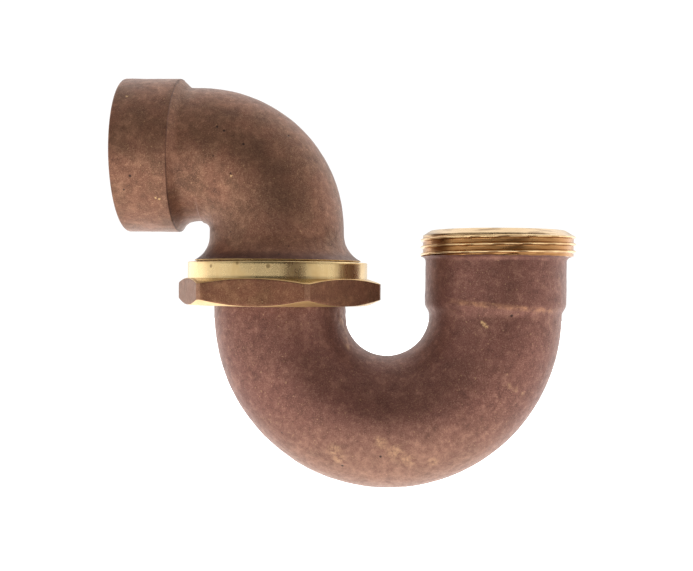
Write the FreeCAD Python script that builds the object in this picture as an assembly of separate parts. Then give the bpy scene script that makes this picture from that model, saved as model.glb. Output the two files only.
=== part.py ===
import FreeCAD, Part
import math
import os

# A cast bronze P-trap for 1-1/2 in waste pipe. It comes apart into an outlet elbow, a J-bend with a
# threaded slip-joint inlet, the hex union nut that joins them, the split ring that the nut's lip
# pulls on, and the flat washer that seals the union.
#
# Frame: the origin is the centre of the outlet hub's mouth. +X runs from the outlet towards the
# inlet, +Z is up, and the trap lies in the plane Y = 0. Lengths are in millimetres.

V = FreeCAD.Vector

# ---- Driving dimensions ----------------------------------------------------------------------

THREAD_PITCH = 25.4 / 11.5    # both threads have 11-1/2 turns to the inch
FLANK_SLOPE = math.tan(math.radians(30.0))
CUTTER_PROUD = 0.10           # a thread cutter stands this far clear of the surface it cuts
THREAD_TOLERANCE = 0.001      # tolerance of the thread cuts

# The plan of the trap: where its vertical axes stand, and its bend radii
UNION_X = 47.6                # turned axis of the union, which is also the elbow's lower leg
LEG_X = 48.3                  # cast axis of the J-bend's union leg, a little off the turned one
BEND_RADIUS = 33.5            # centreline radius of the J-bend
BEND_Z = -49.0                # level of the J-bend's centre
INLET_CAST_X = LEG_X + 2.0 * BEND_RADIUS
INLET_X = INLET_CAST_X + 0.6  # turned axis of the inlet thread and its bore
ELBOW_RADIUS = 23.8           # centreline radius of the elbow

# Waterway and casting walls
BEND_TUBE_R = 20.35
BEND_BORE_R = 18.0
ELBOW_TUBE_R = 20.95
ELBOW_BORE_R = 18.2

# Outlet hub, a solder cup for 41.3 mm drainage tube
HUB_R = 23.8
HUB_LENGTH = 18.1
HUB_SHOULDER = 2.3
HUB_EDGE = 0.5
CUP_R = 20.7
CUP_DEPTH = 17.5

# Flare above the union, and the elbow's male thread
FLARE_Z = -32.7
FLARE_R = 25.9
FLARE_TOP_Z = -26.0
MALE_R = 25.45
MALE_DEPTH = 1.15
MALE_CREST = 0.30
UNION_THREAD_START = 40.0     # degrees from +X to where the union's helices start
COLLAR_Z = -33.0              # the plain turned collar ends here and the thread relief starts
RELIEF_Z = -34.6
ELBOW_END_Z = -40.0
RELIEF_R = MALE_R - MALE_DEPTH - 0.1

# Union washer
WASHER_OUTER_R = 23.8
WASHER_INNER_R = 18.5
WASHER_THICKNESS = 1.5

# The J-bend's turned spigot, its ring groove and the split ring
SPIGOT_R = 20.9
SPIGOT_TOP_Z = ELBOW_END_Z - WASHER_THICKNESS
SPIGOT_FOOT_Z = -46.0
END_LAND = 1.35
RING_HEIGHT = 1.5
RING_PLAY = 0.05
RING_INNER_R = 19.6
RING_OUTER_R = 23.3
RING_GAP = 5.0
GROOVE_R = 19.5
GROOVE_TOP_Z = SPIGOT_TOP_Z - END_LAND
RING_TOP_Z = GROOVE_TOP_Z - RING_PLAY
RING_FOOT_Z = RING_TOP_Z - RING_HEIGHT
GROOVE_FOOT_Z = RING_FOOT_Z - RING_PLAY

# Union nut
SKIRT_R = 27.95
SKIRT_TOP_Z = -33.3
HEX_TOP_Z = -38.3
HEX_FLATS = 57.15             # 2-1/4 in across the flats
HEX_CORNER_R = 32.5           # the sharp corners are taken off at this radius
HEX_TURN = -8.94              # degrees from -Y to the normal of the nearest flat
NUT_FOOT_Z = -46.45
TURNED_FACE_R = 28.35         # the chamfers of the hex start at this radius
TOP_CHAMFER_SLOPE = 0.36
FOOT_CHAMFER_SLOPE = 0.44
LIP_R = 21.5
NUT_RELIEF_TOP_Z = -40.1
NUT_RELIEF_FOOT_Z = -42.1
THREAD_GAP_RADIAL = 0.30      # clearance between the two threads, crest to root
THREAD_GAP_AXIAL = 0.20       # and along the axis on each flank
NUT_BORE_R = MALE_R - MALE_DEPTH + THREAD_GAP_RADIAL
NUT_ROOT_R = MALE_R + THREAD_GAP_RADIAL

# Slip-joint inlet
INLET_HUB_R = 21.65
INLET_HUB_FOOT_Z = -46.2
INLET_SHOULDER_Z = -48.3
INLET_TOP_Z = -23.0
INLET_THREAD_R = 23.85
INLET_THREAD_DEPTH = 0.75
INLET_CREST = 0.28
INLET_THREAD_FOOT_Z = -30.9
INLET_THREAD_TAPER = 1.7      # height of the cone from the cast hub out to the thread
INLET_GROOVE_Z = -29.62       # level at which the thread groove starts
INLET_GROOVE_TURNS = 4
INLET_THREAD_START = 130.0    # degrees from +X to where it starts
INLET_RIM_R = 20.7            # outer radius of the chamfered rim
INLET_CHAMFER = 2.0
TAIL_BORE_R = 19.3            # takes a 38.1 mm tailpiece
TAIL_BORE_FOOT_Z = -47.0
TAIL_BEVEL = 0.5

OVERRUN = 1.0                 # cutters run this far past the faces they open


# ---- Shared shapes ---------------------------------------------------------------------------

def turned(outline, x=0.0):
    """A solid of revolution about the vertical axis through x, from (radius, height) points.

    A point with four numbers is an arc: through its first two, to its last two.
    """
    edges = []
    start = outline[0]
    for point in outline[1:] + outline[:1]:
        end = V(point[-2], 0, point[-1])
        here = V(start[-2], 0, start[-1])
        if len(point) == 4:
            edges.append(Part.Arc(here, V(point[0], 0, point[1]), end).toShape())
        else:
            edges.append(Part.LineSegment(here, end).toShape())
        start = point
    face = Part.Face(Part.Wire(edges))
    solid = face.revolve(V(0, 0, 0), V(0, 0, 1), 360)
    solid.translate(V(x, 0, 0))
    return solid


def drum(radius, low_z, high_z, x=0.0):
    """A plain vertical cylinder."""
    return Part.makeCylinder(radius, high_z - low_z, V(x, 0, low_z))


def along_x(solid):
    """The same solid with its +Z turned to +X."""
    solid.rotate(V(0, 0, 0), V(0, 1, 0), 90)
    return solid


def round_bend(tube_r, start_x, start_z, centre_x, degrees):
    """A round bar bent in the plane Y = 0, from (start_x, start_z) about (centre_x, start_z)."""
    section = Part.Face(Part.Wire(Part.makeCircle(tube_r, V(start_x, 0, start_z), V(0, 0, 1))))
    return section.revolve(V(centre_x, 0, start_z), V(0, 1, 0), degrees)


def helical_bar(profile, low_z, high_z, x, start):
    """A right-hand helical bar of the thread's pitch, from a (radius, height) profile at low_z.

    start is where the helix begins, in degrees from +X.
    """
    helix = Part.makeHelix(THREAD_PITCH, high_z - low_z, profile[0][0])
    corners = [V(r, 0, h) for r, h in profile]
    bar = Part.Wire(helix).makePipeShell([Part.makePolygon(corners + corners[:1])], True, True)
    bar.rotate(V(0, 0, 0), V(0, 0, 1), start)
    bar.translate(V(x, 0, low_z))
    return bar


def outside_groove(crest_r, depth, crest_width, low_z, high_z, x, start):
    """The cutter for a male thread: it leaves a ridge with a flat crest of crest_width."""
    root_half = (THREAD_PITCH - crest_width) / 2.0 - depth * FLANK_SLOPE
    top_half = root_half + (depth + CUTTER_PROUD) * FLANK_SLOPE
    root_r = crest_r - depth
    top_r = crest_r + CUTTER_PROUD
    profile = [(root_r, -root_half), (top_r, -top_half), (top_r, top_half), (root_r, root_half)]
    return helical_bar(profile, low_z, high_z, x, start)


def inside_groove(mate_r, mate_crest, low_z, high_z, x):
    """The cutter for a female thread that clears a male ridge of mate_crest at mate_r."""
    ridge_half = mate_crest / 2.0 + THREAD_GAP_AXIAL
    inner_r = NUT_BORE_R - CUTTER_PROUD
    inner_half = ridge_half + (mate_r - inner_r) * FLANK_SLOPE
    outer_half = ridge_half - (NUT_ROOT_R - mate_r) * FLANK_SLOPE
    profile = [(inner_r, -inner_half), (NUT_ROOT_R, -outer_half),
               (NUT_ROOT_R, outer_half), (inner_r, inner_half)]
    return helical_bar(profile, low_z, high_z, x, UNION_THREAD_START)


# ---- The five pieces -------------------------------------------------------------------------

def outlet_elbow():
    """Solder-cup hub, quarter bend, flare, and the union's male thread below it."""
    hub = turned([
        (0, 0),
        (HUB_R - HUB_EDGE, 0),
        (HUB_R - 0.3 * HUB_EDGE, 0.3 * HUB_EDGE, HUB_R, HUB_EDGE),
        (HUB_R, HUB_LENGTH),
        (ELBOW_TUBE_R, HUB_LENGTH + HUB_SHOULDER),
        (ELBOW_TUBE_R, ELBOW_RADIUS),
        (0, ELBOW_RADIUS),
    ])
    bend = round_bend(ELBOW_TUBE_R, UNION_X, -ELBOW_RADIUS, ELBOW_RADIUS, -90)
    rise = FLARE_TOP_Z - FLARE_Z
    flare_dr = FLARE_R - ELBOW_TUBE_R
    fillet_r = (rise ** 2 + flare_dr ** 2) / (2.0 * flare_dr)
    half_sweep = 0.5 * math.asin(rise / fillet_r)
    fillet_mid = (ELBOW_TUBE_R + fillet_r * (1.0 - math.cos(half_sweep)),
                  FLARE_TOP_Z - fillet_r * math.sin(half_sweep))
    leg = turned([
        (0, -ELBOW_RADIUS),
        (ELBOW_TUBE_R, -ELBOW_RADIUS),
        (ELBOW_TUBE_R, FLARE_TOP_Z),
        (fillet_mid[0], fillet_mid[1], FLARE_R, FLARE_Z),
        (MALE_R, FLARE_Z),
        (MALE_R, COLLAR_Z),
        (RELIEF_R, COLLAR_Z),
        (RELIEF_R, RELIEF_Z),
        (MALE_R, RELIEF_Z - MALE_DEPTH),
        (MALE_R, ELBOW_END_Z + MALE_DEPTH),
        (MALE_R - MALE_DEPTH, ELBOW_END_Z),
        (0, ELBOW_END_Z),
    ], UNION_X)
    groove = outside_groove(MALE_R, MALE_DEPTH, MALE_CREST, ELBOW_END_Z - THREAD_PITCH,
                            COLLAR_Z - THREAD_PITCH / 2.0, UNION_X, UNION_THREAD_START)
    casting = along_x(hub).fuse([bend, leg.cut([groove], THREAD_TOLERANCE)])
    cup = along_x(drum(CUP_R, -OVERRUN, CUP_DEPTH))
    run = along_x(drum(ELBOW_BORE_R, -OVERRUN, ELBOW_RADIUS))
    turn = round_bend(ELBOW_BORE_R, UNION_X, -ELBOW_RADIUS, ELBOW_RADIUS, -90)
    drop = drum(ELBOW_BORE_R, ELBOW_END_Z - OVERRUN, -ELBOW_RADIUS, UNION_X)
    return casting.cut(cup.fuse([run, turn, drop]))


def inlet_bend():
    """The J-bend: turned spigot with its ring groove, half-round bend and threaded inlet."""
    spigot = turned([
        (0, SPIGOT_TOP_Z),
        (SPIGOT_R, SPIGOT_TOP_Z),
        (SPIGOT_R, GROOVE_TOP_Z),
        (GROOVE_R, GROOVE_TOP_Z),
        (GROOVE_R, GROOVE_FOOT_Z),
        (SPIGOT_R, GROOVE_FOOT_Z),
        (SPIGOT_R, SPIGOT_FOOT_Z),
        (0, SPIGOT_FOOT_Z),
    ], UNION_X)
    leg = drum(BEND_TUBE_R, BEND_Z, SPIGOT_FOOT_Z, LEG_X)
    bend = round_bend(BEND_TUBE_R, LEG_X, BEND_Z, LEG_X + BEND_RADIUS, -180)
    hub = turned([
        (0, BEND_Z),
        (BEND_TUBE_R, BEND_Z),
        (BEND_TUBE_R, INLET_SHOULDER_Z),
        (INLET_HUB_R, INLET_HUB_FOOT_Z),
        (INLET_HUB_R, INLET_THREAD_FOOT_Z),
        (0, INLET_THREAD_FOOT_Z),
    ], INLET_CAST_X)
    cone_foot_z = INLET_THREAD_FOOT_Z - INLET_THREAD_TAPER
    envelope = turned([
        (0, cone_foot_z),
        (INLET_HUB_R - (INLET_X - INLET_CAST_X), cone_foot_z),
        (INLET_THREAD_R, INLET_THREAD_FOOT_Z),
        (INLET_THREAD_R, INLET_TOP_Z - INLET_CHAMFER),
        (INLET_RIM_R, INLET_TOP_Z),
        (0, INLET_TOP_Z),
    ], INLET_X)
    groove = outside_groove(INLET_THREAD_R, INLET_THREAD_DEPTH, INLET_CREST, INLET_GROOVE_Z,
                            INLET_GROOVE_Z + INLET_GROOVE_TURNS * THREAD_PITCH, INLET_X,
                            INLET_THREAD_START)
    rod = drum(INLET_THREAD_R, INLET_SHOULDER_Z, INLET_TOP_Z + 2.0 * THREAD_PITCH, INLET_X)
    collar = rod.cut([groove], THREAD_TOLERANCE).common(envelope)
    casting = spigot.fuse([leg, bend, hub, collar])
    drop = drum(BEND_BORE_R, BEND_Z, SPIGOT_TOP_Z + OVERRUN, LEG_X)
    turn = round_bend(BEND_BORE_R, LEG_X, BEND_Z, LEG_X + BEND_RADIUS, -180)
    rise = drum(BEND_BORE_R, BEND_Z, INLET_TOP_Z, INLET_CAST_X)
    socket = turned([
        (0, TAIL_BORE_FOOT_Z),
        (TAIL_BORE_R, TAIL_BORE_FOOT_Z),
        (TAIL_BORE_R, INLET_TOP_Z - TAIL_BEVEL),
        (TAIL_BORE_R + TAIL_BEVEL, INLET_TOP_Z),
        (TAIL_BORE_R + TAIL_BEVEL, INLET_TOP_Z + OVERRUN),
        (0, INLET_TOP_Z + OVERRUN),
    ], INLET_X)
    return casting.cut(drop.fuse([turn, rise, socket]))


def nut_blank():
    """The nut before boring: turned skirt on a hexagon with both ends chamfered."""
    flat_r = HEX_FLATS / 2.0
    corner = flat_r / math.cos(math.pi / 6.0)
    points = []
    for side in range(7):
        angle = math.radians(HEX_TURN - 90.0 + 30.0 + 60.0 * side)
        points.append(V(corner * math.cos(angle), corner * math.sin(angle), NUT_FOOT_Z))
    prism = Part.Face(Part.makePolygon(points)).extrude(V(0, 0, HEX_TOP_Z - NUT_FOOT_Z))
    reach = HEX_CORNER_R - TURNED_FACE_R
    envelope = turned([
        (0, NUT_FOOT_Z),
        (TURNED_FACE_R, NUT_FOOT_Z),
        (HEX_CORNER_R, NUT_FOOT_Z + reach * FOOT_CHAMFER_SLOPE),
        (HEX_CORNER_R, HEX_TOP_Z - reach * TOP_CHAMFER_SLOPE),
        (TURNED_FACE_R, HEX_TOP_Z),
        (0, HEX_TOP_Z),
    ])
    blank = prism.common(envelope).fuse(drum(SKIRT_R, HEX_TOP_Z - OVERRUN, SKIRT_TOP_Z))
    blank.translate(V(UNION_X, 0, 0))
    return blank


def union_nut():
    """Hex union nut: female thread, thread relief, chamber and the lip that pulls on the ring."""
    mouth = NUT_ROOT_R - NUT_BORE_R
    bore = turned([
        (0, SKIRT_TOP_Z + OVERRUN),
        (NUT_ROOT_R, SKIRT_TOP_Z + OVERRUN),
        (NUT_ROOT_R, SKIRT_TOP_Z),
        (NUT_BORE_R, SKIRT_TOP_Z - mouth * FLANK_SLOPE),
        (NUT_BORE_R, NUT_RELIEF_TOP_Z),
        (NUT_ROOT_R, NUT_RELIEF_TOP_Z),
        (NUT_ROOT_R, NUT_RELIEF_FOOT_Z),
        (NUT_BORE_R, NUT_RELIEF_FOOT_Z),
        (NUT_BORE_R, RING_FOOT_Z),
        (LIP_R, RING_FOOT_Z),
        (LIP_R, NUT_FOOT_Z - OVERRUN),
        (0, NUT_FOOT_Z - OVERRUN),
    ], UNION_X)
    nut = nut_blank().cut(bore)
    first_ridge_z = ELBOW_END_Z - THREAD_PITCH / 2.0
    turns = math.ceil((SKIRT_TOP_Z + OVERRUN - first_ridge_z) / THREAD_PITCH)
    groove = inside_groove(MALE_R, MALE_CREST, first_ridge_z, first_ridge_z + turns * THREAD_PITCH,
                           UNION_X)
    return nut.cut([groove], THREAD_TOLERANCE)


def nut_retaining_ring():
    """Split spring ring in the spigot's groove; its gap faces away from the inlet."""
    ring = turned([
        (RING_INNER_R, RING_FOOT_Z),
        (RING_OUTER_R, RING_FOOT_Z),
        (RING_OUTER_R, RING_TOP_Z),
        (RING_INNER_R, RING_TOP_Z),
    ], UNION_X)
    slot = Part.makeBox(RING_OUTER_R + OVERRUN, RING_GAP, RING_HEIGHT + 2.0 * OVERRUN,
                        V(UNION_X - RING_OUTER_R - OVERRUN, -RING_GAP / 2.0, RING_FOOT_Z - OVERRUN))
    return ring.cut(slot)


def union_washer():
    """Flat washer between the elbow's end face and the spigot's end face."""
    return turned([
        (WASHER_INNER_R, SPIGOT_TOP_Z),
        (WASHER_OUTER_R, SPIGOT_TOP_Z),
        (WASHER_OUTER_R, ELBOW_END_Z),
        (WASHER_INNER_R, ELBOW_END_Z),
    ], UNION_X)


# ---- Export ----------------------------------------------------------------------------------

PIECES = {
    "outlet_elbow": outlet_elbow,
    "inlet_bend": inlet_bend,
    "union_nut": union_nut,
    "nut_retaining_ring": nut_retaining_ring,
    "union_washer": union_washer,
}

os.makedirs("parts", exist_ok=True)
for name, make in PIECES.items():
    solid = make().removeSplitter()
    solid.exportStep("parts/" + name + ".step")
    box = solid.BoundBox
    print(name, "valid", solid.isValid(), "solids", len(solid.Solids), "volume", round(solid.Volume, 1),
          "x %.2f..%.2f z %.2f..%.2f" % (box.XMin, box.XMax, box.ZMin, box.ZMax))
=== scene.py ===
import math
from collections import namedtuple

import bpy
import numpy as np
from mathutils import Matrix, Vector, noise


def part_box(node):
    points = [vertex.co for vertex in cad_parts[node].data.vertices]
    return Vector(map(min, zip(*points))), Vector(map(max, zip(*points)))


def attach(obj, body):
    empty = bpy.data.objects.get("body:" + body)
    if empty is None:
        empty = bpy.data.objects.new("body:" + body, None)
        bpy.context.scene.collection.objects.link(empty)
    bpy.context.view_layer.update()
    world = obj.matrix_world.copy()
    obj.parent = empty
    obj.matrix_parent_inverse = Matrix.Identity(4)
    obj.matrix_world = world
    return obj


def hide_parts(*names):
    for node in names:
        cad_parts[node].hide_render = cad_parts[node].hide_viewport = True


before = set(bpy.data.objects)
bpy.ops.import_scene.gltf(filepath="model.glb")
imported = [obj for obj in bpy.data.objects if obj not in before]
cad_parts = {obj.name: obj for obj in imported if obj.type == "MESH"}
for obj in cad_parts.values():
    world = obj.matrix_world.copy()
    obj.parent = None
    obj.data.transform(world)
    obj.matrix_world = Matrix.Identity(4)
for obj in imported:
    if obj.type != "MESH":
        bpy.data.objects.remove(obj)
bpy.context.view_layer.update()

# The visual model of a cast bronze P-trap: two castings and a hex nut, remade as fine meshes with
# their helical threads, turned edges, sand-cast unevenness and machining marks. The split ring and
# the washer keep their CAD shapes. Lengths in this script are millimetres until a mesh is made.

MM = 0.001


def box_mm(node):
    low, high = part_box(node)
    return low / MM, high / MM


ELBOW_HIGH = box_mm("outlet_elbow")[1]
BEND_LOW, BEND_HIGH = box_mm("inlet_bend")
NUT_LOW, NUT_HIGH = box_mm("union_nut")
RING_LOW, RING_HIGH = box_mm("nut_retaining_ring")
WASHER_LOW, WASHER_HIGH = box_mm("union_washer")

# ---- Sizes, from the frame where its corners give them ------------------------------------------

PITCH = 25.4 / 11.5
FLANK = math.tan(math.radians(30.0))
UNION_THREAD_START = 40.0                 # degrees from +X to the start of the union's helices
INLET_THREAD_START = 130.0                # and of the inlet's

UNION_X = (WASHER_LOW.x + WASHER_HIGH.x) / 2.0
FLARE_R = ELBOW_HIGH.x - UNION_X
ELBOW_END_Z = WASHER_HIGH.z
HUB_R = ELBOW_HIGH.z
ELBOW_RADIUS = UNION_X / 2.0              # a short-turn elbow: its leg hangs at twice the radius
ELBOW_TUBE_R = 20.95
ELBOW_BORE_R = 18.2
CUP_R = 20.7
CUP_DEPTH = 17.5
HUB_LENGTH = 17.5
HUB_SHOULDER = 2.7
HUB_STEP = 0.45                           # the hub ends in this small step above its shoulder
HUB_SLANT = 1.4                           # and that end lies this much nearer the mouth underneath
HUB_SLANT_REACH = 5.0                     # how far along the path the slant is spread
FLARE_TOP_Z = -24.9
FLARE_Z = -32.7
LEG_OFFSET = -0.4                         # the cast leg stands this far off the turned union
CROTCH_S = 22.9                           # where along the path the tight inner corner is hollowed
CROTCH_REACH = 3.6                        # how far to each side of that
CROTCH_HOLLOW = 0.6                       # and how deep
MALE_R = 25.45
MALE_DEPTH = 1.15
CREST = 0.30                              # the width of a thread's flat crest
COLLAR_Z = -33.0
RELIEF_Z = -34.6
RELIEF_R = 24.2

BEND_TUBE_R = 20.35
BEND_BORE_R = 18.0
BEND_RADIUS = 33.5
INLET_OFFSET = 0.6                        # the turned inlet stands this far off its cast hub
INLET_THREAD_R = BEND_HIGH.y
INLET_X = BEND_HIGH.x - INLET_THREAD_R
LEG_X = INLET_X - INLET_OFFSET - 2.0 * BEND_RADIUS
BEND_Z = BEND_LOW.z + BEND_RADIUS + BEND_TUBE_R
SPIGOT_TOP_Z = WASHER_LOW.z
SPIGOT_R = 20.9
SPIGOT_FOOT_Z = -46.0
SPIGOT_OFFSET = UNION_X - LEG_X           # and the turned spigot this far off the cast leg
RING_GROOVE_R = 19.5
RING_PLAY = 0.05
INLET_TOP_Z = BEND_HIGH.z
INLET_HUB_R = 21.65
INLET_HUB_FOOT_Z = -46.2
INLET_SHOULDER_Z = -48.3
INLET_THREAD_DEPTH = 0.75
INLET_GROOVE_Z = -29.62
FIN_FOOT_Z = -32.6                        # the cast hub flares out into a fin under the thread
FIN_Z = -31.05
FIN_R = 23.45
FIN_WAVE, FIN_RIPPLE = 0.17, 0.10         # how far its edge strays up and down, and in short ripples
FIN_WAVE_REACH = 0.55                     # and how far from the edge that is felt
FIN_NOISE_R = 7.0                         # the waves are noise taken round a circle of this size
GATE_S, GATE_REACH = 11.0, 11.0           # along the path, a rough patch where the gate was cut off
GATE_HALF_ANGLE = 0.72                    # radians to each side of the bend's inner line
GATE_LUMPS, GATE_HEIGHT = 0.30, 0.12
INLET_RIM_R = 20.7
INLET_CHAMFER = 2.0
TAIL_BORE_R = 19.3
TAIL_FOOT_Z = -47.0
TAIL_BEVEL = 0.5

SKIRT_R = 27.95
HEX_TOP_Z = -38.3
HEX_FLATS = 57.15
HEX_CORNER_R = 32.5
HEX_TURN = -8.94
HEX_EDGE_SOFT = 0.18                      # how far the hexagon's edges are softened
HEX_LUMPS, HEX_GRAIN = 0.03, 0.02         # the unevenness of its flats
TURNED_FACE_R = 28.35
TOP_CHAMFER_SLOPE = 0.36
FOOT_CHAMFER_SLOPE = 0.44
LIP_R = 21.5
NUT_RELIEF_TOP_Z = -40.1
NUT_RELIEF_FOOT_Z = -42.1
THREAD_GAP = 0.30
THREAD_AXIAL_GAP = 0.20

CAST_LUMPS = ((0.10, 13.0), (0.055, 4.0), (0.035, 1.5))   # height and size: swells, lumps, grain
RIDGE_HEIGHT, RIDGE_REACH = 0.14, 1.3     # the mould's parting ridge

AROUND = 216                              # points round a casting
COARSE = 0.72                             # spacing of stations along plain stretches
FINE = 0.125                              # along threads
CORED = 1.6                               # and along the cored bores

# Finishes, in the order of a piece's materials. SPECIAL is the elbow's narrow step at its hub's
# shoulder, painted darker as shade, and on the nut its turned-off corners.
CAST, TURNED, INSIDE, EDGE, SPECIAL = range(5)


# ---- Outlines -----------------------------------------------------------------------------------

# A corner of a closed outline: distance along the path, radius, offset of the axis along X, the
# finish of the stretch that ends here, how far the edge's rounding reaches, and station spacing.
Corner = namedtuple("Corner", "s r shift finish soft step", defaults=(0.0, CAST, 0.15, COARSE))


def stations(corners):
    """Closely spaced (s, r, shift) stations round a closed outline, and each one's finish.

    An edge's rounding takes up less than half of the stretches beside it.
    """
    places, finishes, reach = [], [], []
    count = len(corners)
    at = np.array([corner[:3] for corner in corners], float)
    for i, corner in enumerate(corners):
        back = np.linalg.norm(at[i - 1] - at[i])
        ahead = np.linalg.norm(at[(i + 1) % count] - at[i])
        reach.append(min(corner.soft, 0.45 * back, 0.45 * ahead))
    for i, corner in enumerate(corners):
        previous, here, following = at[i - 1], at[i], at[(i + 1) % count]
        length = np.linalg.norm(here - previous)
        along = (here - previous) / length
        start = previous + along * reach[i - 1]
        end = here - along * reach[i]
        pieces = max(1, math.ceil(np.linalg.norm(end - start) / corner.step))
        for k in range(1, pieces + 1):
            places.append(start + (end - start) * k / pieces)
            finishes.append(corner.finish)
        leaving = (following - here) / np.linalg.norm(following - here)
        beyond = here + leaving * reach[i]
        for u in (0.34, 0.67, 1.0):
            places.append((1 - u) ** 2 * end + 2 * u * (1 - u) * here + u * u * beyond)
            finishes.append(corner.finish if u < 0.5 else corners[(i + 1) % count].finish)
    return np.array(places), np.array(finishes)


def arc_corners(start, end, count, at, finish, step=COARSE, shift=0.0):
    """Corners along a quarter-like arc that leaves `start` upright and bows out to `end`.

    start and end are (radius, height); `at` turns a height into distance along the path. The axis
    starts `shift` off its place and comes back to it at the end.
    """
    rise = abs(start[1] - end[1])
    out = end[0] - start[0]
    radius = (rise ** 2 + out ** 2) / (2.0 * out)
    sweep = math.asin(min(1.0, rise / radius))
    sign = 1.0 if end[1] > start[1] else -1.0
    made = []
    for k in range(1, count + 1):
        turn = sweep * k / count
        r = start[0] + radius * (1.0 - math.cos(turn))
        off = shift * (1.0 - k / count)
        made.append(Corner(at(start[1] + sign * radius * math.sin(turn)), r, off, finish, 0.3, step))
    return made


# ---- Paths --------------------------------------------------------------------------------------

class Path:
    """A centreline in the plane Y = 0: a straight lead, an arc, and a straight tail."""

    def __init__(self, start, heading, outward, lead, radius, sweep):
        self.start, self.heading, self.outward = map(np.array, (start, heading, outward))
        self.lead, self.radius, self.sweep = lead, radius, sweep

    def at(self, s):
        """Centre and outward direction of the section at each distance s."""
        turn = np.clip((s - self.lead) / self.radius, 0.0, self.sweep)[:, None]
        out = np.cos(turn) * self.outward + np.sin(turn) * self.heading
        tangent = np.cos(turn) * self.heading - np.sin(turn) * self.outward
        hinge = self.start + self.heading * self.lead - self.outward * self.radius
        past_lead = s - self.lead
        straight = np.minimum(past_lead, 0.0) + np.maximum(past_lead - self.radius * self.sweep, 0.0)
        return hinge + self.radius * out + tangent * straight[:, None], out


ELBOW_PATH = Path((0.0, 0, 0), (1.0, 0, 0), (0.0, 0, 1.0), ELBOW_RADIUS, ELBOW_RADIUS, math.pi / 2)
BEND_PATH = Path((LEG_X, 0, SPIGOT_TOP_Z), (0.0, 0, -1.0), (-1.0, 0, 0), SPIGOT_TOP_Z - BEND_Z,
                 BEND_RADIUS, math.pi)


def elbow_s(z):
    """Distance along the elbow's path to a level on its lower leg."""
    return ELBOW_RADIUS * math.pi / 2.0 - z


def inlet_s(z):
    """Distance along the J-bend's path to a level on its inlet leg."""
    return SPIGOT_TOP_Z - BEND_Z + BEND_RADIUS * math.pi + z - BEND_Z


# ---- Threads and surface relief -----------------------------------------------------------------

def from_crest(z, angle, low_z, start):
    """Axial distance to the nearest crest of a right-hand ridge whose helix starts at low_z."""
    crest_z = low_z + PITCH / 2.0 + PITCH * (angle - math.radians(start)) / (2.0 * math.pi)
    return np.abs((z - crest_z + PITCH / 2.0) % PITCH - PITCH / 2.0)


def male_thread(crest_r, depth, z, angle, low_z, start):
    """Radius of an outside thread: crest_r at its crests, `depth` less at its roots."""
    sunk = (from_crest(z, angle, low_z, start) - CREST / 2.0) / FLANK
    return crest_r - np.clip(sunk, 0.0, depth)


def female_thread(root_r, depth, z, angle, low_z, start):
    """Radius of the nut's thread, which keeps THREAD_AXIAL_GAP from the elbow's."""
    flat = CREST / 2.0 + THREAD_AXIAL_GAP - (root_r - MALE_R) * FLANK
    return root_r - np.clip((from_crest(z, angle, low_z, start) - flat) / FLANK, 0.0, depth)


def sampled(points, scale, seed):
    """Smooth noise from -1 to 1 at each point; scale is the size of its lumps."""
    offset = Vector((seed * 17.3, seed * 5.1, seed * 9.7))
    flat = points.reshape(-1, 3) / scale
    values = [noise.noise(Vector(p) + offset) for p in flat]
    return np.array(values).reshape(points.shape[:-1])


def cast_relief(points, seed):
    """The unevenness of a sand casting: long swells, lumps and a coarse grain."""
    return sum(height * sampled(points, size, seed + k) for k, (height, size) in enumerate(CAST_LUMPS))


def near(value, centre, reach):
    """1 at the centre, falling smoothly to 0 at the reach."""
    t = np.clip(np.abs(value - centre) / reach, 0.0, 1.0)
    return 1.0 - t * t * (3.0 - 2.0 * t)


# ---- Meshes -------------------------------------------------------------------------------------

def ring_mesh(name, points, finishes, materials, smooth_below=48.0):
    """A closed mesh from (stations, around, 3) points in millimetres; both ways round join up.

    There is a finish for each station, or for each point.
    """
    rows, columns = points.shape[:2]
    index = np.arange(rows * columns).reshape(rows, columns)
    right = np.roll(index, -1, axis=1)
    ahead = np.roll(index, -1, axis=0)
    corner = np.roll(right, -1, axis=0)
    quads = np.stack([index, right, corner, ahead], axis=-1).reshape(-1, 4)
    flat = points.reshape(-1, 3)
    a, b, c, d = (flat[quads[:, k]] for k in range(4))
    volume = (a * np.cross(b, c)).sum() + (a * np.cross(c, d)).sum()
    if volume < 0:                        # the faces look inwards
        quads = quads[:, ::-1]
    mesh = bpy.data.meshes.new(name)
    mesh.from_pydata((flat * MM).tolist(), [], quads.tolist())
    for material in materials:
        mesh.materials.append(material)
    if finishes.ndim == 1:
        finishes = np.repeat(finishes[:, None], columns, axis=1)
    slots = np.roll(finishes, -1, axis=0).reshape(-1).astype(np.int32)
    mesh.polygons.foreach_set("material_index", slots)
    mesh.polygons.foreach_set("use_smooth", np.ones(len(quads), bool))
    mesh.set_sharp_from_angle(angle=math.radians(smooth_below))
    mesh.update()
    piece = bpy.data.objects.new(name, mesh)
    bpy.context.scene.collection.objects.link(piece)
    return piece


def swept(path, places, radii):
    """Points of the sections along a path, from an array of radii per station and angle."""
    angle = np.linspace(0.0, 2.0 * math.pi, radii.shape[1], endpoint=False)
    centre, out = path.at(places[:, 0])
    centre = centre + np.outer(places[:, 2], (1.0, 0.0, 0.0))
    side = np.array((0.0, 1.0, 0.0))
    spoke = np.cos(angle)[None, :, None] * out[:, None, :] + np.sin(angle)[None, :, None] * side
    return centre[:, None, :] + radii[:, :, None] * spoke


def parting_ridge(points, seed):
    """The fettled ridge where the two halves of the mould met, in the plane Y = 0."""
    along = 0.55 + 0.45 * sampled(points, 6.0, seed)
    return RIDGE_HEIGHT * along * near(points[..., 1], 0.0, RIDGE_REACH)


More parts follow.
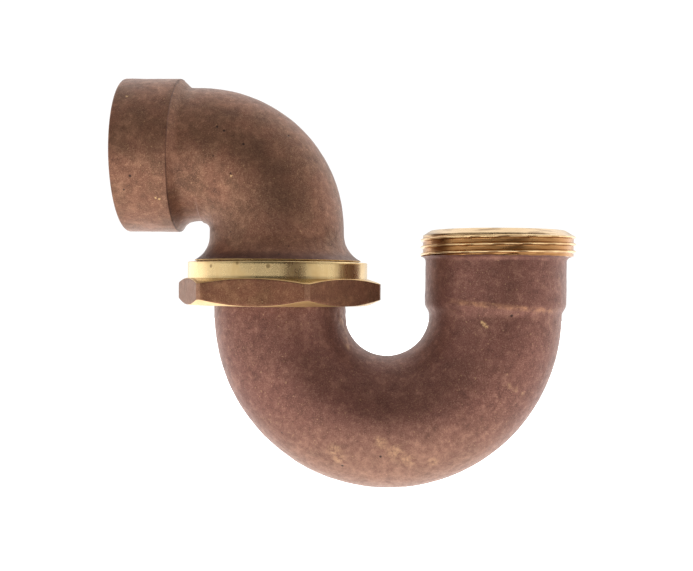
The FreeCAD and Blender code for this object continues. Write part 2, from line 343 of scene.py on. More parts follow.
def start_piece(corners):
    """A casting's stations, their finishes, the angles round it, and its radii before any relief."""
    places, finishes = stations(corners)
    angle = np.linspace(0.0, 2.0 * math.pi, AROUND, endpoint=False)
    return places, finishes, angle, np.repeat(places[:, 1:2], AROUND, axis=1)


def elbow_outline():
    """The elbow's outline, from its mouth over the outside to the union, and back up the bore."""
    end_s = elbow_s(ELBOW_END_Z)
    corners = [
        Corner(0.0, CUP_R, 0.0, TURNED, 0.25),
        Corner(0.0, HUB_R, 0.0, TURNED, 0.7),
        Corner(HUB_LENGTH, HUB_R, 0.0, CAST, 0.5, 0.6),
        Corner(HUB_LENGTH + 0.3, HUB_R - HUB_STEP, 0.0, SPECIAL, 0.1, 0.3),
        Corner(HUB_LENGTH + HUB_SHOULDER, ELBOW_TUBE_R, 0.0, CAST, 0.9, 0.4),
        Corner(ELBOW_RADIUS, ELBOW_TUBE_R),
        Corner(elbow_s(-ELBOW_RADIUS), ELBOW_TUBE_R, LEG_OFFSET),
        Corner(elbow_s(FLARE_TOP_Z), ELBOW_TUBE_R, LEG_OFFSET, CAST, 0.3),
    ]
    corners += arc_corners((ELBOW_TUBE_R, FLARE_TOP_Z), (FLARE_R, FLARE_Z), 10, elbow_s, CAST,
                           shift=LEG_OFFSET)
    corners += [
        Corner(elbow_s(FLARE_Z - 0.2), FLARE_R - 0.05, 0.0, EDGE, 0.05),
        Corner(elbow_s(FLARE_Z - 0.2), MALE_R, 0.0, TURNED, 0.1),
        Corner(elbow_s(COLLAR_Z), MALE_R, 0.0, TURNED, 0.15),
        Corner(elbow_s(COLLAR_Z), RELIEF_R, 0.0, TURNED, 0.1),
        Corner(elbow_s(RELIEF_Z), RELIEF_R, 0.0, TURNED, 0.1),
        Corner(elbow_s(RELIEF_Z - MALE_DEPTH), MALE_R, 0.0, TURNED, 0.05, FINE),
        Corner(elbow_s(ELBOW_END_Z + MALE_DEPTH), MALE_R, 0.0, TURNED, 0.05, FINE),
        Corner(end_s, MALE_R - MALE_DEPTH, 0.0, TURNED, 0.1, FINE),
        Corner(end_s, ELBOW_BORE_R, 0.0, TURNED, 0.25),
        Corner(CUP_DEPTH, ELBOW_BORE_R, 0.0, INSIDE, 0.2, CORED),
        Corner(CUP_DEPTH, CUP_R, 0.0, TURNED, 0.1),
    ]
    return corners


def make_elbow(materials):
    places, finishes, angle, radii = start_piece(elbow_outline())
    along = places[:, 0]
    outside = places[:, 1] > CUP_R + 0.1
    threaded = (along > elbow_s(RELIEF_Z)) & (places[:, 1] > ELBOW_BORE_R + 4.0)
    z = (elbow_s(0.0) - along[threaded])[:, None]
    cut = male_thread(MALE_R, MALE_DEPTH, z, angle[None, :], ELBOW_END_Z - PITCH, UNION_THREAD_START)
    radii[threaded] = np.minimum(radii[threaded], cut)
    points = swept(ELBOW_PATH, places, radii)
    rough = np.isin(finishes, (CAST, INSIDE, SPECIAL)) & (np.roll(finishes, 1) != TURNED)
    ridged = (places[rough, 1] > CUP_R)[:, None]
    radii[rough] += cast_relief(points[rough], 1) + ridged * parting_ridge(points[rough], 5)
    hollow = near(along, CROTCH_S, CROTCH_REACH) * outside
    radii -= CROTCH_HOLLOW * hollow[:, None] * np.clip(-np.cos(angle), 0.0, 1.0)[None, :] ** 3
    points = swept(ELBOW_PATH, places, radii)
    at_shoulder = near(along, HUB_LENGTH + HUB_SHOULDER / 2.0, HUB_SLANT_REACH) * outside
    points[..., 0] -= HUB_SLANT / 2.0 * at_shoulder[:, None] * (1.0 - np.cos(angle))
    return ring_mesh("elbow_casting", points, finishes, materials)


def bend_outline():
    """The bend's outline, from the spigot over the outside to the inlet, and back down the bore."""
    groove_top = SPIGOT_TOP_Z - (RING_HIGH.z + RING_PLAY)
    groove_foot = SPIGOT_TOP_Z - (RING_LOW.z - RING_PLAY)
    spigot_foot = SPIGOT_TOP_Z - SPIGOT_FOOT_Z
    corners = [
        Corner(0.0, BEND_BORE_R, 0.0, INSIDE, 0.2, CORED),
        Corner(0.0, SPIGOT_R, SPIGOT_OFFSET, TURNED, 0.2),
        Corner(groove_top, SPIGOT_R, SPIGOT_OFFSET, TURNED, 0.1),
        Corner(groove_top, RING_GROOVE_R, SPIGOT_OFFSET, TURNED, 0.1),
        Corner(groove_foot, RING_GROOVE_R, SPIGOT_OFFSET, TURNED, 0.1),
        Corner(groove_foot, SPIGOT_R, SPIGOT_OFFSET, TURNED, 0.1),
        Corner(spigot_foot, SPIGOT_R, SPIGOT_OFFSET, TURNED, 0.1),
        Corner(spigot_foot + 0.3, BEND_TUBE_R, 0.0, CAST, 0.2),
        Corner(inlet_s(INLET_SHOULDER_Z), BEND_TUBE_R, 0.0, CAST, 0.9),
        Corner(inlet_s(INLET_HUB_FOOT_Z), INLET_HUB_R, 0.0, CAST, 0.8),
        Corner(inlet_s(FIN_FOOT_Z), INLET_HUB_R, 0.0, CAST, 0.2),
    ]
    corners += arc_corners((INLET_HUB_R, FIN_FOOT_Z), (FIN_R, FIN_Z), 6, inlet_s, CAST, 0.3)
    corners += [
        Corner(inlet_s(FIN_Z + 0.12), FIN_R, 0.15, CAST, 0.05, FINE),
        Corner(inlet_s(FIN_Z + 0.2), INLET_THREAD_R, INLET_OFFSET, TURNED, 0.05, FINE),
        Corner(inlet_s(INLET_TOP_Z - INLET_CHAMFER), INLET_THREAD_R, INLET_OFFSET, TURNED, 0.1, FINE),
        Corner(inlet_s(INLET_TOP_Z), INLET_RIM_R, INLET_OFFSET, TURNED, 0.15, FINE),
        Corner(inlet_s(INLET_TOP_Z), TAIL_BORE_R + TAIL_BEVEL, INLET_OFFSET, TURNED, 0.1),
        Corner(inlet_s(INLET_TOP_Z - TAIL_BEVEL), TAIL_BORE_R, INLET_OFFSET, TURNED, 0.1),
        Corner(inlet_s(TAIL_FOOT_Z), TAIL_BORE_R, INLET_OFFSET, TURNED, 0.1),
        Corner(inlet_s(TAIL_FOOT_Z), BEND_BORE_R, 0.0, TURNED, 0.15),
    ]
    return corners


def make_bend(materials):
    places, finishes, angle, radii = start_piece(bend_outline())
    along = places[:, 0]
    threaded = (along > inlet_s(FIN_Z - 0.3)) & (places[:, 1] > TAIL_BORE_R + TAIL_BEVEL + 0.1)
    z = (along[threaded] - inlet_s(0.0))[:, None]
    cut = male_thread(INLET_THREAD_R, INLET_THREAD_DEPTH, z, angle[None, :], INLET_GROOVE_Z,
                      INLET_THREAD_START)
    radii[threaded] = np.minimum(radii[threaded], cut)
    points = swept(BEND_PATH, places, radii)
    rough = (finishes == CAST) & (np.roll(finishes, 1) != TURNED)
    relief = cast_relief(points[rough], 11) + parting_ridge(points[rough], 15)
    gate = near(along[rough], GATE_S, GATE_REACH)[:, None]
    gate = gate * near(angle[None, :], math.pi, GATE_HALF_ANGLE)
    radii[rough] += relief + gate * (GATE_LUMPS * sampled(points[rough], 1.5, 21) + GATE_HEIGHT)
    points = swept(BEND_PATH, places, radii)
    around_fin = FIN_NOISE_R * np.stack([np.cos(angle), np.sin(angle), 0.0 * angle], axis=-1)
    wave = FIN_WAVE * sampled(around_fin, 1.0, 41) + FIN_RIPPLE * sampled(around_fin, 0.35, 42)
    points[..., 2] += near(along, inlet_s(FIN_Z + 0.15), FIN_WAVE_REACH)[:, None] * wave
    return ring_mesh("bend_casting", points, finishes, materials)


# ---- The nut ------------------------------------------------------------------------------------

def nut_angles():
    """Angles round the nut, closer together at the turned-off corners of the hexagon."""
    corner = math.degrees(math.acos(HEX_FLATS / 2.0 / HEX_CORNER_R))
    plain = np.linspace(-corner + 1.2, corner - 1.2, 27)
    edge = np.array([corner - 0.7, corner - 0.3, corner, corner + 0.3, corner + 0.8])
    offsets = np.concatenate([-edge[::-1], plain, edge])
    return np.radians(np.concatenate([HEX_TURN - 90.0 + 60.0 * k + offsets for k in range(6)]))


def hex_radius(angle, worn):
    """Radius of the hexagon with its corners turned off, its edges softened over `worn`."""
    from_flat = (np.degrees(angle) - HEX_TURN + 90.0 + 30.0) % 60.0 - 30.0
    flat = HEX_FLATS / 2.0 / np.cos(np.radians(from_flat))
    blend = np.clip(worn - np.abs(flat - HEX_CORNER_R), 0.0, None)
    return np.minimum(flat, HEX_CORNER_R) - blend ** 2 / (4.0 * worn)


def make_nut(materials):
    angle = nut_angles()
    hexagon = hex_radius(angle, HEX_EDGE_SOFT)
    rings, finishes = [], []

    def ring(r, z, finish):
        rings.append((r + 0.0 * angle, z + 0.0 * angle))
        finishes.append(finish)

    def line(r0, z0, r1, z1, finish, soft=0.12, step=COARSE):
        """Rings along a stretch of the outline, held `soft` short of both its ends."""
        length = math.hypot(r1 - r0, z1 - z0)
        held = min(soft, 0.4 * length) / length
        pieces = max(1, math.ceil(length / step))
        for k in range(pieces + 1):
            u = held + (1.0 - 2.0 * held) * k / pieces
            ring(r0 + (r1 - r0) * u, z0 + (z1 - z0) * u, finish)

    def chamfer(level, slope, offsets):
        """Rings of a turned chamfer, `offsets` inside the hexagon, from a face at `level`."""
        for offset in offsets:
            reach = np.maximum(hexagon + offset, TURNED_FACE_R + 0.05)
            ring(reach, level + (reach - TURNED_FACE_R) * slope, EDGE)

    foot, top, skirt_top = NUT_LOW.z, HEX_TOP_Z, NUT_HIGH.z
    root_r = MALE_R + THREAD_GAP
    bore_r = root_r - MALE_DEPTH
    mouth_z = skirt_top - MALE_DEPTH * FLANK
    line(LIP_R, foot, TURNED_FACE_R, foot, TURNED)
    chamfer(foot, FOOT_CHAMFER_SLOPE, np.linspace(-0.9, -0.1, 4))
    low_edge = foot + (hexagon - TURNED_FACE_R) * FOOT_CHAMFER_SLOPE
    high_edge = top - (hexagon - TURNED_FACE_R) * TOP_CHAMFER_SLOPE
    for u in np.linspace(0.0, 1.0, 14):   # the flats, 0.07 short of both chamfers
        z = low_edge + 0.07 + (high_edge - low_edge - 0.14) * u
        flats = np.stack([hexagon * np.cos(angle), hexagon * np.sin(angle), z], axis=-1)
        uneven = hexagon + HEX_LUMPS * sampled(flats, 3.5, 31) + HEX_GRAIN * sampled(flats, 1.3, 32)
        ring(uneven, z, CAST)
    chamfer(top, -TOP_CHAMFER_SLOPE, np.linspace(-0.1, -0.9, 4))
    line(TURNED_FACE_R, top, SKIRT_R, top, TURNED, 0.05)
    line(SKIRT_R, top, SKIRT_R, skirt_top, TURNED, 0.18)
    line(SKIRT_R, skirt_top, root_r, skirt_top, TURNED, 0.18)
    line(root_r, skirt_top, bore_r, mouth_z, TURNED, 0.05, FINE)
    line(bore_r, mouth_z, bore_r, NUT_RELIEF_TOP_Z, TURNED, 0.02, FINE)
    line(root_r, NUT_RELIEF_TOP_Z, root_r, NUT_RELIEF_FOOT_Z, TURNED, 0.05)
    line(bore_r, NUT_RELIEF_FOOT_Z, bore_r, RING_LOW.z, TURNED, 0.05)
    line(LIP_R, RING_LOW.z, LIP_R, foot, TURNED, 0.12)

    radii, levels = np.array(rings).transpose(1, 0, 2)
    bored = (radii[:, 0] > bore_r - 0.01) & (radii[:, 0] < root_r + 0.01)
    bored &= (levels[:, 0] > NUT_RELIEF_TOP_Z - 0.001) & (levels[:, 0] < skirt_top - 0.001)
    cut = female_thread(root_r, MALE_DEPTH, levels[bored], angle[None, :], ELBOW_END_Z - PITCH,
                        UNION_THREAD_START)
    radii[bored] = np.maximum(radii[bored], cut)
    points = np.stack([UNION_X + radii * np.cos(angle), radii * np.sin(angle), levels], axis=-1)
    grid = np.repeat(np.array(finishes)[:, None], len(angle), axis=1)
    turned_off = hex_radius(angle, 0.001) > HEX_CORNER_R - 0.01
    turned_off &= np.roll(turned_off, -1)
    grid[(grid == CAST) & turned_off[None, :]] = SPECIAL
    return ring_mesh("hex_nut", points, grid, materials)


# ---- Materials ----------------------------------------------------------------------------------

def linear(red, green, blue):
    """A colour given as 0 to 255 display values, as the shader's linear light."""
    values = []
    for channel in (red, green, blue):
        c = channel / 255.0
        values.append(c / 12.92 if c <= 0.04045 else ((c + 0.055) / 1.055) ** 2.4)
    return (*values, 1.0)


def add_node(tree, kind, inputs=None, **settings):
    """A new node with its settings; each input takes a link from a socket, or a plain value."""
    made = tree.nodes.new(kind)
    for key, value in settings.items():
        setattr(made, key, value)
    for key, value in (inputs or {}).items():
        if isinstance(value, bpy.types.NodeSocket):
            tree.links.new(value, made.inputs[key])
        else:
            made.inputs[key].default_value = value
    return made


def add_ramp(tree, value, low, high, to_low, to_high):
    """to_low where the value is `low`, to_high where it is `high`, and a smooth step between."""
    inputs = {"Value": value, "From Min": low, "From Max": high, "To Min": to_low, "To Max": to_high}
    made = add_node(tree, "ShaderNodeMapRange", inputs, interpolation_type="SMOOTHSTEP")
    return made.outputs["Result"]


class Shader:
    """A Principled material and short ways to add the nodes that drive it."""

    def __init__(self, name, **constants):
        self.material = bpy.data.materials.new(name)
        self.material.use_nodes = True
        self.tree = self.material.node_tree
        self.principled = self.tree.nodes["Principled BSDF"]
        for socket, value in constants.items():
            self.principled.inputs[socket.replace("_", " ")].default_value = value
        coords = self.tree.nodes.new("ShaderNodeTexCoord")
        scaled = self.node("ShaderNodeVectorMath", {0: coords.outputs["Object"]}, operation="SCALE")
        scaled.inputs["Scale"].default_value = 1.0 / MM
        self.mm = scaled.outputs[0]

    def node(self, kind, inputs=None, **settings):
        return add_node(self.tree, kind, inputs, **settings)

    def vector(self, operation, first, second):
        return self.node("ShaderNodeVectorMath", {0: first, 1: second}, operation=operation).outputs[0]

    def noise(self, size, detail=2.0, roughness=0.55, stretch=None):
        """Noise whose lumps are about `size` millimetres, or that over `stretch` along each axis."""
        source = self.vector("MULTIPLY", self.mm, stretch) if stretch else self.mm
        made = self.node("ShaderNodeTexNoise", {"Vector": source, "Scale": 1.0 / size,
                                               "Detail": detail, "Roughness": roughness})
        return made.outputs["Fac"]

    def ramp(self, value, low, high, to_low=0.0, to_high=1.0):
        return add_ramp(self.tree, value, low, high, to_low, to_high)

    def math(self, operation, first, second=0.0):
        return self.node("ShaderNodeMath", {0: first, 1: second}, operation=operation).outputs[0]

    def mix(self, factor, first, second):
        """The first colour where the factor is 0, the second where it is 1."""
        made = self.node("ShaderNodeMix", {"Factor": factor}, data_type="RGBA")
        for socket, value in ((made.inputs[6], first), (made.inputs[7], second)):
            if isinstance(value, bpy.types.NodeSocket):
                self.tree.links.new(value, socket)
            else:
                socket.default_value = value
        return made.outputs[2]

    def spot(self, centre, radius, edge=0.5):
        """1 inside a small ball about a point of the part, fading over `edge` of its radius."""
        away = self.node("ShaderNodeVectorMath", {0: self.mm, 1: centre}, operation="DISTANCE")
        return self.ramp(away.outputs["Value"], radius * (1.0 - edge), radius, 1.0, 0.0)

    def spots(self, places, edge=0.5):
        """1 inside any of several balls, each given as its centre and radius."""
        total = None
        for centre, radius in places:
            mask = self.spot(centre, radius, edge)
            total = mask if total is None else self.math("MAXIMUM", total, mask)
        return total

    def axis(self, name):
        made = self.node("ShaderNodeSeparateXYZ", {"Vector": self.mm})
        return made.outputs[name]

    def bump(self, height, distance):
        inputs = {"Height": height, "Distance": distance * MM, "Strength": 1.0}
        return self.node("ShaderNodeBump", inputs).outputs["Normal"]

    def connect(self, **links):
        for socket, value in links.items():
            self.tree.links.new(value, self.principled.inputs[socket.replace("_", " ")])
        return self.material


WHITE = (1.0, 1.0, 1.0, 1.0)
WARM_EDGE = linear(250, 243, 238)         # a casting shines warm, not white, at its rims
FLECK = linear(178, 140, 102)             # the small bright grains in all cast bronze
FLOOR_LIGHT_TONE = linear(174, 138, 112)            # painted light from the floor, paler towards the bend's bottom
SHADE = linear(66, 34, 30)                # the dark foot of the elbow
SOOT_AND_SHADE = linear(50, 34, 28)                 # stains, and on the elbow painted shade
HOLE = linear(30, 16, 12)                 # pits
WORN_AND_FLOOR_LIT = linear(190, 150, 112)              # metal showing through, and on the bend's bottom painted light from the floor
GILT = linear(184, 134, 92)               # the rubbed line
BARE = linear(206, 168, 118)              # fresh scrapes
HANDLED = linear(92, 66, 38)              # stains on turned brass
ROOT_SHADE = linear(150, 98, 48)               # painted shade in the threads' roots
RIM_LIGHT = linear(192, 166, 130)         # streaks across the inlet's rim
RIM_DARK = linear(146, 120, 90)
PIT_CELL, PITTED_SHARE = 5.0, 0.16        # size of the cells for small pits, and how many have one


def cast_bronze(name, body, bright, dark, stain, metal=0.55, edge=WARM_EDGE, pits=(), stains=(),
                scrapes=(), worn=(), foot=None, gilt=None, lit_from_below=None):
    """Sand-cast bronze left as it came from the mould: brown, grainy and slightly lustrous.

    `stain` colours its large clouds. pits, stains, scrapes and worn are marks, each a centre and a
    radius; some stains are painted shade, and some worn marks are also painted light from the floor.
    foot and the last argument are pairs of levels: between foot's it darkens, and towards the lower
    of the other two it is painted paler, as light from the floor. gilt is a rubbed line across the
    front: the X and Z where it starts, its slope and its half-width.
    """
    shader = Shader(name, Metallic=metal, Specular_Tint=edge, Sheen_Weight=0.10, Sheen_Roughness=0.4)
    grain = shader.noise(0.30, 2.0, 0.6)
    mottle = shader.noise(1.7, 5.0, 0.68)
    patch = shader.noise(4.2, 3.0, 0.6)
    cloud = shader.noise(11.0, 3.0, 0.55)
    flecks = shader.noise(0.62, 1.0, 0.5)
    colour = shader.mix(shader.ramp(cloud, 0.42, 0.62, 0.0, 0.65), body, stain)
    for pattern, full_at, share, tint in ((patch, 0.74, 0.30, bright), (patch, 0.26, 0.34, dark),
                                          (mottle, 0.74, 0.35, bright), (mottle, 0.26, 0.40, dark),
                                          (grain, 0.80, 0.60, bright), (grain, 0.22, 0.60, dark)):
        colour = shader.mix(shader.ramp(pattern, 0.50, full_at, 0.0, share), colour, tint)
    colour = shader.mix(shader.ramp(flecks, 0.68, 0.80, 0.0, 0.55), colour, FLECK)
    # Painted light: paler towards the bottom between the two levels, as lit from the floor.
    if lit_from_below:
        floor_light = shader.math("MULTIPLY", shader.ramp(shader.axis("Z"), *lit_from_below, 0.0, 0.36),
                             shader.ramp(mottle, 0.30, 0.64, 0.45, 1.0))
        colour = shader.mix(floor_light, colour, FLOOR_LIGHT_TONE)
    if foot:
        colour = shader.mix(shader.ramp(shader.axis("Z"), *foot, 0.0, 0.55), colour, SHADE)
    cells = shader.node("ShaderNodeTexVoronoi", {"Vector": shader.mm, "Scale": 1.0 / PIT_CELL})
    chosen = shader.node("ShaderNodeSeparateColor", {"Color": cells.outputs["Color"]}).outputs[0]
    holes = shader.math("MULTIPLY", shader.ramp(cells.outputs["Distance"], 0.03, 0.08, 1.0, 0.0),
                        shader.math("LESS_THAN", chosen, PITTED_SHARE))
    if pits:
        holes = shader.math("MAXIMUM", holes, shader.spots(pits))
    # Painted darker: stains, and on the elbow also painted shade.
    if stains:
        colour = shader.mix(shader.math("MULTIPLY", shader.spots(stains, 1.0), 0.24), colour, SOOT_AND_SHADE)
    colour = shader.mix(shader.math("MULTIPLY", holes, 0.85), colour, HOLE)
    # Painted paler: worn metal, and on the bend's bottom also painted light from the floor.
    if worn:
        rubbed = shader.math("MULTIPLY", shader.spots(worn, 0.9),
                             shader.ramp(mottle, 0.36, 0.72, 0.0, 0.62))
        colour = shader.mix(rubbed, colour, WORN_AND_FLOOR_LIT)
    if gilt:
        x_from, z_from, slope, half = gilt
        line = shader.math("MULTIPLY", shader.math("SUBTRACT", shader.axis("X"), x_from), slope)
        off = shader.math("SUBTRACT", shader.math("SUBTRACT", shader.axis("Z"), z_from), line)
        band = shader.ramp(shader.math("ABSOLUTE", off), half, 0.1 * half, 0.0, 0.38)
        band = shader.math("MULTIPLY", band, shader.ramp(mottle, 0.30, 0.70))
        band = shader.math("MULTIPLY", band, shader.ramp(shader.axis("X"), x_from - 2.0, x_from + 4.0))
        band = shader.math("MULTIPLY", band, shader.ramp(shader.axis("Y"), -9.0, -16.0))
        colour = shader.mix(band, colour, GILT)
    if scrapes:
        fibres = shader.noise(0.45, 2.0, 0.7, stretch=(0.55, 1.0, 1.6))
        ragged = shader.math("MULTIPLY", shader.spots(scrapes, 1.0),
                             shader.ramp(fibres, 0.40, 0.58, 0.0, 1.5))
        colour = shader.mix(shader.math("MINIMUM", ragged, 0.85), colour, BARE)
    roughness = shader.ramp(mottle, 0.3, 0.7, 0.54, 0.42)
    height = shader.math("ADD", shader.math("MULTIPLY", grain, 0.35), mottle)
    height = shader.math("SUBTRACT", height, shader.math("MULTIPLY", holes, 0.8))
    return shader.connect(Base_Color=colour, Roughness=roughness, Normal=shader.bump(height, 0.07))


def turned_brass(name, body, deep, rough=0.25, thread=None, stains=()):
    """Lathe-turned brass: golden, with fine feed marks round the axis and a few handling stains.

    thread describes a thread on it: the X of its axis, its crest radius, its top level, and how far
    the metal above that level takes the streaked colours of a rim.
    """
    shader = Shader(name, Metallic=1.0)
    feed = shader.noise(0.34, 2.0, 0.5, stretch=(0.02, 0.02, 1.0))
    tarnish = shader.noise(4.5, 3.0, 0.6, stretch=(1.0, 1.0, 0.5))
    specks = shader.noise(0.5, 2.0, 0.6)
    colour = shader.mix(shader.ramp(tarnish, 0.42, 0.75, 0.0, 0.6), body, deep)
    colour = shader.mix(shader.ramp(specks, 0.66, 0.80, 0.0, 0.3), colour, deep)
    if stains:
        colour = shader.mix(shader.math("MULTIPLY", shader.spots(stains), 0.6), colour, HANDLED)
    if thread:
        axis_x, crest_r, top_z, streaked = thread
        flat = shader.vector("MULTIPLY", shader.vector("SUBTRACT", shader.mm, (axis_x, 0.0, 0.0)),
                             (1.0, 1.0, 0.0))
        out = shader.node("ShaderNodeVectorMath", {0: flat}, operation="LENGTH").outputs["Value"]
        # Painted shade: the roots of the thread are painted darker below its top level.
        root_shade = shader.math("MULTIPLY", shader.ramp(out, crest_r - 0.10, crest_r - 0.55, 0.0, 0.8),
                            shader.ramp(shader.axis("Z"), top_z, top_z - 0.3))
        colour = shader.mix(root_shade, colour, ROOT_SHADE)
        rim = shader.ramp(shader.axis("Z"), top_z - 0.1, top_z + 0.1, 0.0, streaked)
        streaks = shader.ramp(shader.noise(3.2, 3.0, 0.6, stretch=(0.35, 0.35, 3.0)), 0.46, 0.62)
        colour = shader.mix(rim, colour, shader.mix(streaks, RIM_LIGHT, RIM_DARK))
    roughness = shader.ramp(tarnish, 0.35, 0.75, rough, rough + 0.11)
    return shader.connect(Base_Color=colour, Roughness=roughness, Normal=shader.bump(feed, 0.0006))


def dark_bore(name):
    """The cored inside of a casting: dull, dark and rougher than the outside."""
    shader = Shader(name, Metallic=0.35)
    grain = shader.noise(0.8, 3.0, 0.65)
    cloud = shader.noise(7.0, 2.0, 0.5)
    colour = shader.mix(shader.ramp(grain, 0.35, 0.7), linear(82, 58, 45), linear(128, 92, 72))
    colour = shader.mix(shader.ramp(cloud, 0.45, 0.7, 0.0, 0.6), colour, linear(70, 56, 40))
    roughness = shader.ramp(grain, 0.3, 0.7, 0.72, 0.6)
    return shader.connect(Base_Color=colour, Roughness=roughness, Normal=shader.bump(grain, 0.14))


def black_rubber(name):
    """Moulded rubber with a dusty bloom."""
    shader = Shader(name, Metallic=0.0)
    bloom = shader.noise(2.5, 3.0, 0.6)
    grain = shader.noise(0.3, 2.0, 0.5)
    colour = shader.mix(shader.ramp(bloom, 0.4, 0.75), linear(26, 26, 27), linear(58, 57, 55))
    roughness = shader.ramp(bloom, 0.3, 0.7, 0.55, 0.8)
    return shader.connect(Base_Color=colour, Roughness=roughness, Normal=shader.bump(grain, 0.03))


def white_floor():
    """A matt white sweep, lit a little from within so that it stays white to its edges."""
    shader = Shader("floor_white", Metallic=0.0, Roughness=0.9, Emission_Strength=1.05)
    shader.principled.inputs["Emission Color"].default_value = WHITE
    tone = shader.noise(400.0, 1.0, 0.5)
    colour = shader.mix(tone, linear(240, 240, 240), linear(244, 244, 243))
    return shader.connect(Base_Color=colour)


# ---- Studio -------------------------------------------------------------------------------------

CAMERA_DISTANCE = 311.3
CAMERA_YAW, CAMERA_PITCH, CAMERA_ROLL = math.radians(-2.33), math.radians(0.24), math.radians(0.5)
CAMERA_TARGET = Vector((69.1, 0.0, -40.27))
CAMERA_LENS = 51.75
FLOOR_DROP = 100.0                        # the floor lies this far below the bend
FLOOR_HALF = 4000.0                       # and reaches this far each way
FLAG_BEARING = math.radians(26.5)         # from -Y towards +X, seen from the union
FLAG_AWAY, FLAG_HALF_WIDTH = 520.0, 114.0
FLAG_FOOT, FLAG_TOP = -200.0, 460.0


def make_camera():
    """The photo's view: from -Y, and turned, tilted and rolled a little."""
    turn = (Matrix.Rotation(CAMERA_ROLL, 3, "Y") @ Matrix.Rotation(CAMERA_PITCH, 3, "X")
            @ Matrix.Rotation(CAMERA_YAW, 3, "Z")).transposed()
    place = (CAMERA_TARGET + turn @ Vector((0.0, -CAMERA_DISTANCE, 0.0))) * MM
    camera = bpy.data.objects.new("camera", bpy.data.cameras.new("camera"))
    camera.data.sensor_width = 36.0
    camera.data.lens = CAMERA_LENS
    camera.data.clip_start = 0.01
    axes = Matrix((turn @ Vector((1, 0, 0)), turn @ Vector((0, 0, 1)), turn @ Vector((0, -1, 0))))
    camera.matrix_world = Matrix.Translation(place) @ axes.transposed().to_4x4()
    bpy.context.scene.collection.objects.link(camera)
    bpy.context.scene.camera = camera


def make_floor():
    level = BEND_LOW.z - FLOOR_DROP
    corners = [(x * FLOOR_HALF * MM, y * FLOOR_HALF * MM, level * MM)
               for x, y in ((-1, -1), (1, -1), (1, 1), (-1, 1))]
    mesh = bpy.data.meshes.new("floor")
    mesh.from_pydata(corners, [], [(0, 1, 2, 3)])
    mesh.materials.append(white_floor())
    floor = bpy.data.objects.new("floor", mesh)
    bpy.context.scene.collection.objects.link(floor)


def make_tent():
    """A white light tent, brightest behind the trap and open towards -Y, where the room is dimmer."""
    world = bpy.data.worlds.new("tent")
    bpy.context.scene.world = world
    world.use_nodes = True
    tree = world.node_tree
    tree.nodes.clear()

    def product(first, second):
        return add_node(tree, "ShaderNodeMath", {0: first, 1: second}, operation="MULTIPLY").outputs[0]

    towards = add_node(tree, "ShaderNodeTexCoord").outputs["Generated"]
    split = add_node(tree, "ShaderNodeSeparateXYZ", {"Vector": towards})
    y, z = split.outputs["Y"], split.outputs["Z"]
    opening = add_ramp(tree, y, -0.95, -0.30, 0.12, 0.88)
    behind = product(add_ramp(tree, y, -0.10, 0.35, 1.0, 2.4), add_ramp(tree, y, 0.70, 0.97, 1.0, 0.5))
    level = product(product(opening, behind), add_ramp(tree, z, -0.6, 0.9, 1.1, 0.85))
    glow = add_node(tree, "ShaderNodeBackground", {"Color": WHITE, "Strength": level})
    plain = add_node(tree, "ShaderNodeBackground", {"Color": WHITE, "Strength": 1.05})
    seen = add_node(tree, "ShaderNodeLightPath").outputs["Is Camera Ray"]
    chosen = add_node(tree, "ShaderNodeMixShader", {0: seen, 1: glow.outputs[0], 2: plain.outputs[0]})
    add_node(tree, "ShaderNodeOutputWorld", {"Surface": chosen.outputs[0]})


def make_flag():
    """A dark brown card beside the camera, which draws the dark streak in the turned skirt."""
    sine, cosine = math.sin(FLAG_BEARING), math.cos(FLAG_BEARING)
    across = Vector((cosine, sine, 0.0)) * FLAG_HALF_WIDTH
    centre = Vector((UNION_X + FLAG_AWAY * sine, -FLAG_AWAY * cosine, 0.0))
    foot, top = Vector((0, 0, FLAG_FOOT)), Vector((0, 0, FLAG_TOP))
    corners = [centre - across + foot, centre + across + foot,
               centre + across + top, centre - across + top]
    mesh = bpy.data.meshes.new("flag")
    mesh.from_pydata([corner * MM for corner in corners], [], [(0, 1, 2, 3)])
    shader = Shader("flag_brown", Roughness=1.0, Metallic=0.0)
    colour = shader.mix(shader.noise(60.0), linear(44, 20, 8), linear(52, 25, 11))
    mesh.materials.append(shader.connect(Base_Color=colour))
    flag = bpy.data.objects.new("flag", mesh)
    flag.visible_camera = False
    bpy.context.scene.collection.objects.link(flag)


# ---- The scene ----------------------------------------------------------------------------------

def on_part(piece, body, slot, *nodes):
    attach(piece, body)
    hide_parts(*nodes)


bpy.context.scene.view_settings.view_transform = "Standard"
make_camera()
make_floor()
make_flag()
make_tent()

elbow_cast = cast_bronze(
    "cast_elbow", linear(119, 79, 60), linear(176, 130, 102), linear(64, 38, 28), linear(100, 70, 51),
    pits=[((6.3, -22.2, -8.6), 0.5), ((31.4, -19.7, 6.2), 0.5), ((33.5, -19.9, 5.0), 0.5),
          ((39.3, -20.2, 1.1), 0.5), ((51.9, -13.3, 4.6), 0.5), ((52.9, -20.9, -29.0), 0.5),
          ((4.0, -20.2, -12.5), 0.4), ((19.2, -7.0, -21.2), 0.8), ((19.5, -4.0, -21.6), 0.7)],
    # Painted shade: the four stains at X 20 ring the hub's shoulder, and the four large ones from X 43
    # to 51 run down the leg's front; the other two are stains.
    stains=[((5.2, -14.0, 19.2), 4.2), ((35.1, -17.0, 10.7), 3.4), ((43.0, -20.1, 0.0), 8.0),
            ((20.0, -20.4, -6.0), 2.6), ((20.0, -18.6, -10.5), 2.8), ((20.0, -15.5, -14.5), 2.8),
            ((20.0, -11.0, -18.0), 2.8), ((47.6, -20.3, -6.5), 9.0), ((50.0, -20.6, -14.0), 9.5),
            ((51.0, -20.6, -21.0), 8.0)],
    foot=(-29.6, -31.8),
    scrapes=[((13.2, -18.8, -14.7), 0.6), ((14.1, -18.5, -15.1), 0.6), ((35.9, -20.5, -8.4), 0.6),
             ((4.2, -18.1, 15.5), 0.7)])
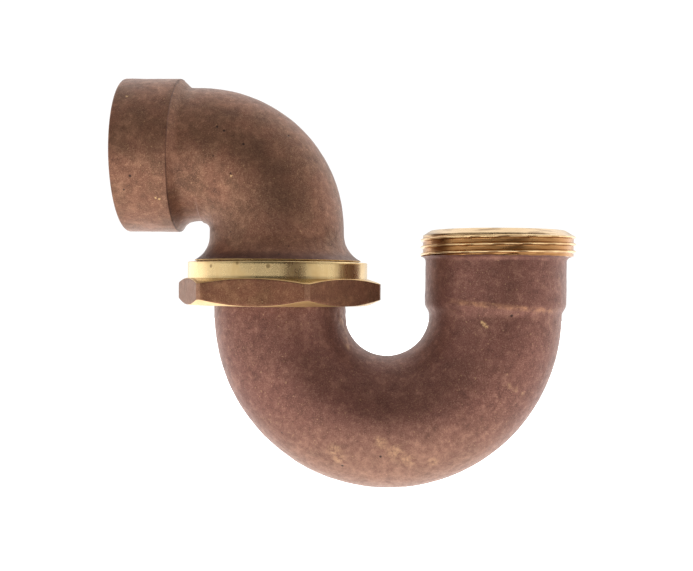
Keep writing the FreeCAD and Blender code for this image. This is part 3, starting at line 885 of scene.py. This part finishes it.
bend_cast = cast_bronze(
    "cast_bend", linear(111, 70, 60), linear(170, 124, 104), linear(66, 38, 32), linear(104, 66, 55),
    # Painted light from the floor: paler towards the bend's bottom between these levels.
    lit_from_below=(-74.0, -99.0),
    pits=[((69.0, -15.7, -93.7), 0.5), ((80.3, -18.8, -90.3), 0.5), ((118.0, -20.2, -48.5), 0.5)],
    # Worn marks; those low on the bend's bottom, from Z -86 to -92, are also painted light from the
    # floor.
    worn=[((68.0, -5.9, -50.8), 3.0), ((69.0, -4.9, -53.9), 2.6), ((69.4, -7.0, -56.3), 2.4),
          ((69.8, -9.2, -58.6), 2.2), ((66.9, -18.3, -88.7), 3.4), ((67.7, -17.1, -91.2), 3.0),
          ((80.5, -20.0, -86.0), 3.2), ((84.5, -19.3, -88.8), 4.2), ((88.2, -18.0, -91.3), 3.6),
          ((95.8, -16.6, -92.0), 2.4), ((117.5, -18.9, -69.1), 1.4), ((119.5, -17.9, -70.3), 1.4),
          ((121.6, -16.2, -71.8), 1.4)],
    gilt=(100.0, -44.6, -0.085, 1.3),
    scrapes=[((109.6, -19.6, -50.6), 0.8), ((110.2, -19.7, -51.2), 0.9), ((110.8, -19.9, -51.8), 0.8)])
nut_cast = cast_bronze("cast_nut", linear(116, 75, 56), linear(168, 124, 91), linear(66, 40, 29),
                       linear(102, 70, 49), metal=0.5, edge=linear(200, 177, 162))
brass = turned_brass("turned_brass", linear(208, 181, 132), linear(188, 154, 100),
                     stains=[((30.3, -22.0, -34.8), 0.7), ((38.7, -26.5, -34.0), 0.6),
                             ((47.8, -27.9, -34.8), 0.8)])
THREADED = dict(body=linear(212, 182, 136), deep=linear(180, 142, 98), rough=0.26)
thread_brass = turned_brass("thread_brass", **THREADED,
                            thread=(INLET_X, INLET_THREAD_R, INLET_TOP_Z - INLET_CHAMFER, 1.0))
union_brass = turned_brass("union_brass", **THREADED, thread=(UNION_X, MALE_R, COLLAR_Z, 0.0))
filed_brass = turned_brass("filed_brass", linear(213, 180, 127), linear(187, 151, 99), rough=0.44)
# Painted shade: a darker copy of the elbow's cast bronze for the narrow step at its hub's shoulder.
crease_shade = cast_bronze("cast_crease_shade", linear(98, 64, 49), linear(138, 98, 77), linear(56, 33, 24),
                     linear(84, 57, 43))
corner_cast = cast_bronze("cast_corner", linear(130, 91, 70), linear(182, 142, 112), linear(100, 66, 49),
                          linear(130, 94, 71), edge=linear(212, 192, 178))
bore = dark_bore("cored_bore")
rubber = black_rubber("black_rubber")

elbow = make_elbow([elbow_cast, union_brass, bore, filed_brass, crease_shade])
on_part(elbow, "elbow", "cast_elbow", "outlet_elbow")
bend = make_bend([bend_cast, thread_brass, bore])
on_part(bend, "bend", "cast_bend", "inlet_bend")
nut = make_nut([nut_cast, brass, bore, filed_brass, corner_cast])
on_part(nut, "nut", "nut_brass", "union_nut")

for node_name, material in (("nut_retaining_ring", brass), ("union_washer", rubber)):
    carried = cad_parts[node_name]
    for slot in carried.material_slots:
        slot.material = material
